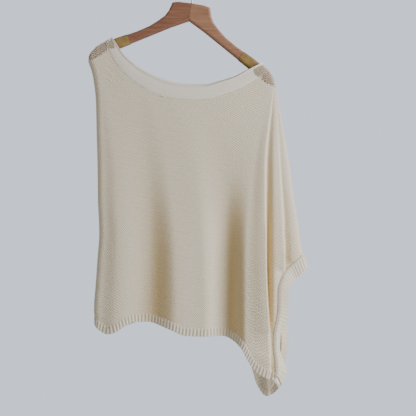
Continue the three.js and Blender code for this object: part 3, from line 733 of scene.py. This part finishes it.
BACK_FOLDS = [
    ("back_left_roll", [-209, -188, -180, -190], [11, 12, 14, 18]),
    ("back_left_fold", [-154, -140, -132, -137], [11, 14, 20, 24]),
    ("back_left_dip", [-72, -60, -56, -61], [11, 11, 12, 12]),
    ("back_mid_fold", [10, 33, 43, 38], [11, 15, 22, 28]),
    ("back_mid_dip", [92, 103, 103, 103], [11, 12, 13, 14]),
    ("back_right_fold", [169, 156, 154, 150], [11, 18, 26, 30]),
    ("back_right_dip", [177, 182, 190, 172], [10, 12, 14, 20]),
    ("back_wing_fold", [182, 203, 221, 186], [7.5, 10, 16, 14]),
]
BACK_HEM = [
    (-234, 828), (-215, 840), (-179, 839), (-132, 826), (-84, 824), (-37, 840), (10, 854),
    (57, 857), (94, 871), (118, 903), (132, 937), (144, 977), (165, 1001), (181, 995), (195, 978)]
BACK_CUFF = [
    (250, 668, 0.15, 258, 696, 0.15), (247, 671, 4, 255, 699, 4), (229, 692, 13, 240, 715, 11),
    (209, 721, 14, 220, 737, 13), (195, 758, 15, 210, 767, 14), (195, 803, 10, 211, 804, 14),
    (199, 844, 4, 215, 843, 14), (200, 874, 3, 217, 870, 12), (196, 905, 5, 211, 905, 12),
    (190, 943, 12, 205, 946, 8), (186, 962, 14, 197, 976, 8)]

back = make_side(1, BACK_FOLDS, BACK_HEM, BACK_CUFF, 10, -6)
back_grid, stitches = cloth_grid(back, 5.5, 3)
back_painted_shade = painted_fold_shade(back_grid, 1)
back_knit = sheet_object("back_knit", knit_relief(back_grid, stitches, 1, 11), stitches, 1,
                         back_painted_shade, keep=closed_cells(back_grid))
back_knit.data.materials.append(ivory_knit)
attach(back_knit, "root")
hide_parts("back_panel")
back_loops = [
    open_knit("back_left_open_knit", back, LEFT_OPEN, LOOP_COURSE, LOOP_WALE, LOOP_YARN, 0.25),
    open_knit("back_right_open_knit", back, RIGHT_OPEN, LOOP_COURSE, LOOP_WALE, LOOP_YARN, 0.1)]
for loops in back_loops:
    loops.data.materials.append(ivory_yarn)
    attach(loops, "root")
    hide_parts("back_panel")


# Neckbands: 25 mm of finer, smoother knit in a whiter yarn, linked to the edge of the neck and
# turned in at its free edge. The front and back bands meet on top of the hanger.

NECK_EDGE = [(-194, 165), (-160, 213), (-121, 244), (-83, 263), (-45, 275), (-7, 279), (24, 279),
             (54, 271), (92, 258), (123, 240), (154, 224)]
# The darkest colour is painted shade between the loops and the palest a painted highlight. The last is
# the tint of the painted warm shade, which the band does not get.
BAND = {"name": "fine_smooth_knit_band", "painted_hollow_shade": "#e2dbc8", "body": "#efe9d9",
        "crest": "#f7f2e6", "through": "#f4e6c8", "course": 2.6, "wale": 2.4,
        "depth": 0.0003, "uneven": 0.5, "rib": 0, "rib_pitch": 8}


def neckband(name, side):
    """A band that lies over the panel's edge and rolls a little outwards at the neck."""
    rows = np.arange(len(NECK_JOIN), dtype=float)
    rise = side["neck_rise"] * np.sin(np.pi * rows / rows[-1]) ** 0.5
    join_x = smooth_through(rows, [p[0] for p in NECK_JOIN])
    join_drop = smooth_through(rows, np.array([p[1] for p in NECK_JOIN]) - rise)
    edge_x = smooth_through(rows, [p[0] for p in NECK_EDGE])
    edge_drop = smooth_through(rows, np.array([p[1] for p in NECK_EDGE]) - rise)
    place = np.linspace(0, rows[-1], 260)[:, None]
    over = np.linspace(-0.12, 1, 19)[None]
    x = join_x(place) * (1 - over) + edge_x(place) * over
    drop = join_drop(place) * (1 - over) + edge_drop(place) * over
    drop = np.maximum(drop, shoulder_line(x))
    points = cloth_point_at(side, x, drop)
    normals = grid_normals(points, side["facing"])
    crown = 0.9 + 0.5 * np.sin(np.pi * np.clip(over, 0, 1)) + 1.3 * np.clip((over - 0.86) / 0.14, 0, 1)
    tuck = np.clip(-over / 0.12, 0, 1)
    calm = np.clip(np.abs(points[..., 1]) / 6, 0.15, 1)
    points = points + normals * ((crown - 0.8 * tuck) * calm)[..., None]
    steps = np.linalg.norm(np.diff(points[:, 9], axis=0), axis=-1)
    length = np.concatenate([[0], np.cumsum(steps)])
    stitches = np.stack(np.broadcast_arrays(length[:, None], over * 25), -1)
    x = (points[:-1, :-1, 0] + points[1:, 1:, 0]) / 2
    drop = -(points[:-1, :-1, 2] + points[1:, 1:, 2]) / 2
    opened = inside_outline(BAND_LEFT_OPEN, x, drop) | inside_outline(BAND_RIGHT_OPEN, x, drop)
    keep = ~opened | (over[:, 1:] > 0.85)
    return sheet_object(name, points, stitches, side["facing"], 0, rising=True, keep=keep)


ivory_band = knitted(BAND)
for name, side in (("front_neckband", front), ("back_neckband", back)):
    band = neckband(name.replace("neckband", "neck_trim"), side)
    band.data.materials.append(ivory_band)
    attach(band, "root")
    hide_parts(name)
    for end, zone, slope in (("left", BAND_LEFT_OPEN, 0.6), ("right", BAND_RIGHT_OPEN, -0.5)):
        loops = open_knit(f"{name}_{end}_open_knit", side, zone, 3.6, 3.8, 0.4, slope, 0.9)
        loops.data.materials.append(ivory_yarn)
        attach(loops, "root")
        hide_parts(name)


# Hem and arm-edge ribs: two-and-two rib, 16 mm wide at the hem and up to 28 mm at the arm,
# knitted on to the edge of each panel. Its ribs run square to the edge, and it lies flatter
# where it is stretched.

RIB_PITCH = 8.0            # from one rib to the next
RIB_RAISE = 1.1            # height of a rib
# The darkest colour is painted shade between loops and in rib furrows, and the palest a painted highlight
# on the ribs. 'rib' sets how strongly the furrows are painted darker, so the stretched rib paints them
# only faintly.
RIB = {"name": "two_and_two_rib_ivory", "painted_hollow_shade": "#cfc4a8", "body": "#e3dac4",
       "crest": "#eee6d4", "through": "#efdaac", "course": 3.4, "wale": RIB_PITCH / 4,
       "depth": 0.0008, "uneven": 0.5, "rib": 0.5, "rib_pitch": RIB_PITCH}
STRETCHED_RIB = {**RIB, "name": "stretched_two_and_two_rib_ivory", "rib": 0.12, "uneven": 0.6}


def row_of(column, value):
    """Position, counted in rows, at which a steadily rising column reaches a value."""
    return np.interp(value, column, np.arange(len(column)))


def rib_strip(name, side, lap, edge, fade, painted_shade):
    """A ribbed strip from a lap on the panel, given by lines of points that end at its edge,
    to its own free edge, with how flat the ribs are stretched at each point, and the panel's
    painted warm shade there."""
    join = lap[-1]
    steps = np.linalg.norm(np.diff(join, axis=0), axis=-1)
    length = np.concatenate([[0], np.cumsum(steps)])
    count = int(length[-1] / (RIB_PITCH / 6))
    place = np.linspace(0, length[-1], count)
    resample = lambda line: np.stack([np.interp(place, length, line[:, k]) for k in range(3)], -1)
    start, end = resample(join), resample(edge)
    off_panel = np.array([0.12, 0.3, 0.5, 0.7, 0.86, 0.95, 1])[None, :, None]
    over = np.concatenate([np.linspace(-0.3, 0, len(lap)), off_panel[0, :, 0]])[None, :, None]
    points = start[:, None] * (1 - off_panel) + end[:, None] * off_panel
    points = np.concatenate([np.stack([resample(line) for line in lap], 1), points], 1)
    normals = grid_normals(points, side["facing"])
    wave = 0.5 + 0.5 * np.cos(2 * np.pi * place / RIB_PITCH)
    flat = np.interp(place, length, fade)
    rib = RIB_RAISE * (np.clip(wave * 1.4 - 0.2, 0, 1) * (1 - flat) + 0.5 * flat)[:, None]
    rib = rib * np.interp(over[..., 0], [-0.3, -0.1, 0, 0.12, 0.86, 0.95, 1], [0, 0, 0.5, 1, 1, 0.9, 0.6])
    rib = rib + np.interp(over[..., 0], [-0.3, -0.2, -0.1, 0, 0.2], [-0.5, 0.1, 0.3, 0.4, 0.2])
    calm = np.clip(np.abs(points[..., 1]) / 4, 0, 1)
    points = points + normals * (rib * calm)[..., None]
    stitches = np.stack(np.broadcast_arrays(place[:, None], over[..., 0] * RIB_WIDTH), -1)
    # Painted shade: the panel's painted warm tint carries on to the rib, fading to half at its free edge.
    glow = np.interp(place, length, painted_shade)[:, None] * (1 - 0.5 * np.clip(over[..., 0], 0, 1))
    return sheet_object(name, points, stitches, side["facing"], glow)


def hem_edge(side, join):
    """Points of the hem's free edge, one for each point where the rib joins the panel."""
    hem = np.array(side["hem"], float)
    rows = np.arange(len(hem), dtype=float)
    flare = np.zeros(len(hem))
    flare[-1] = side["hem_flare"]
    row = row_of([p[0] for p in side["hem_join"]], join[:, 0])
    x = smooth_through(rows, hem[:, 0])(row)
    drop = smooth_through(rows, hem[:, 1])(row)
    y = join[:, 1] + side["facing"] * smooth_through(rows, flare)(row)
    return np.stack([x, y, -drop], -1)


def arm_lap(side, join):
    """Lines of points on the panel from 5 mm inside its arm edge to the edge."""
    return [cloth_point_at(side, join[:, 0] - inset, -join[:, 2]) for inset in (5, 4, 3, 2, 1)] + [join]


def hem_lap(grid):
    """Lines of points on the panel from about 4 mm above its lower edge to the edge."""
    edge = grid[:, -1]
    inside = edge.copy()
    for column, line in enumerate(grid):
        reach = np.argmax(np.abs(line[:, 2] - line[-1, 2]) < 4)
        inside[column] = line[max(reach - 1, 0)]
    return [inside, (inside + edge) / 2, edge]


def stretch_of(drop):
    """The arm edge is pulled flat between its corner and its fold, and again below it."""
    return np.interp(drop, [690, 730, 790, 808, 822, 850, 930], [0, 0.8, 0.8, 0.1, 0.1, 0.85, 0.5])


def cuff_edge(side, join):
    """Points of the arm edge's free edge."""
    cuff = side["cuff"]
    rows = np.arange(len(cuff), dtype=float)
    row = row_of(cuff[:, 1], -join[:, 2])
    x, drop, depth = (smooth_through(rows, cuff[:, k])(row) for k in (3, 4, 5))
    return np.stack([x, side["facing"] * depth, -drop], -1)


ivory_rib = knitted(RIB)
stretched_rib = knitted(STRETCHED_RIB)
for label, side, grid, painted_shade in (("front", front, front_grid, front_painted_shade),
                                  ("back", back, back_grid, back_painted_shade)):
    hem_join = grid[:, -1]
    below = -grid[-1][:, 2] >= side["cuff"][0, 1] - 1
    arm_join = grid[-1][below]
    # The painted warm shade goes on to the hem rib at full strength and on to the arm rib at half
    # strength.
    strips = [
        (f"{label}_hem_trim", f"{label}_hem_rib", (0.53, 0.021), hem_lap(grid),
         hem_edge(side, hem_join), np.full(len(hem_join), 0.15), painted_shade[:, -1]),
        (f"{label}_arm_trim", f"{label}_cuff_rib", (0.32, 0.028), arm_lap(side, arm_join),
         cuff_edge(side, arm_join), stretch_of(-arm_join[:, 2]), painted_shade[-1][below] * 0.5),
    ]
    for name, node, flat, lap, edge, fade, glow in strips:
        strip = rib_strip(name, side, lap, edge, fade, glow)
        strip.data.materials.append(ivory_rib if "hem" in name else stretched_rib)
        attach(strip, "root")
        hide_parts(node)


# Floor: a plain pale disc below the hanging garment.

bpy.ops.object.select_all(action="DESELECT")
bpy.ops.mesh.primitive_circle_add(vertices=96, radius=1.7, fill_type="NGON", location=(0, 0, -1.7))
floor = bpy.context.object
floor.name = "pale_floor"
bpy.ops.object.transform_apply(location=True)
paint, _, paint_shader = new_material("pale_matte_paint")
paint_shader.inputs["Base Color"].default_value = linear("#d6d8dc")
paint_shader.inputs["Roughness"].default_value = 0.9
floor.data.materials.append(paint)
floor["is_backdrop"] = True


# Light: a large soft window at the right, a weak fill at the left and an even pale surround.

def soft_light(name, place, aim, size, power, hex_colour):
    """A square lamp turned to face a point."""
    lamp = bpy.data.lights.new(name, "AREA")
    lamp.size = size
    lamp.energy = power
    lamp.color = linear(hex_colour)[:3]
    light = bpy.data.objects.new(name, lamp)
    bpy.context.collection.objects.link(light)
    light.location = place
    direction = np.array(aim) - np.array(place)
    flat = math.hypot(direction[0], direction[1])
    light.rotation_euler = (math.pi / 2 + math.atan2(direction[2], flat), 0,
                            math.atan2(direction[1], direction[0]) - math.pi / 2)


soft_light("window", (2.45, -1.15, 0.25), (0, 0, -0.55), 1.3, 115, "#fbfaff")
soft_light("fill", (-1.8, -2.2, -0.3), (0, 0, -0.6), 2.0, 4, "#ffe9cc")

world = bpy.data.worlds.new("pale_surround")
bpy.context.scene.world = world
world.use_nodes = True
sky_tree = world.node_tree
seen = add_node(sky_tree, "ShaderNodeLightPath").outputs["Is Camera Ray"]
glow = sky_tree.nodes["Background"]
glow.inputs["Color"].default_value = linear("#e6e2da")
glow.inputs["Strength"].default_value = 0.44
surround = add_node(sky_tree, "ShaderNodeBackground", inputs={
    "Color": linear("#c9d0dc"), "Strength": 1.55})
choose = add_node(sky_tree, "ShaderNodeMixShader", inputs={
    "Fac": seen, 1: glow.outputs["Background"], 2: surround.outputs["Background"]})
sky_tree.links.new(choose.outputs["Shader"], sky_tree.nodes["World Output"].inputs["Surface"])


# Camera: level, 1.33 m in front of the garment, as in the photograph.

view = bpy.data.cameras.new("photo_view")
view.lens = 49.61
view.sensor_width = 36
camera = bpy.data.objects.new("photo_view", view)
bpy.context.collection.objects.link(camera)
camera.location = (0.0284, -1.33, -0.5587)
camera.rotation_euler = (math.pi / 2, 0, 0)
bpy.context.scene.camera = camera

({"cad": [list(map(float, corner)) for corner in cad_box],
           "visual": [list(map(float, corner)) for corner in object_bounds()]})
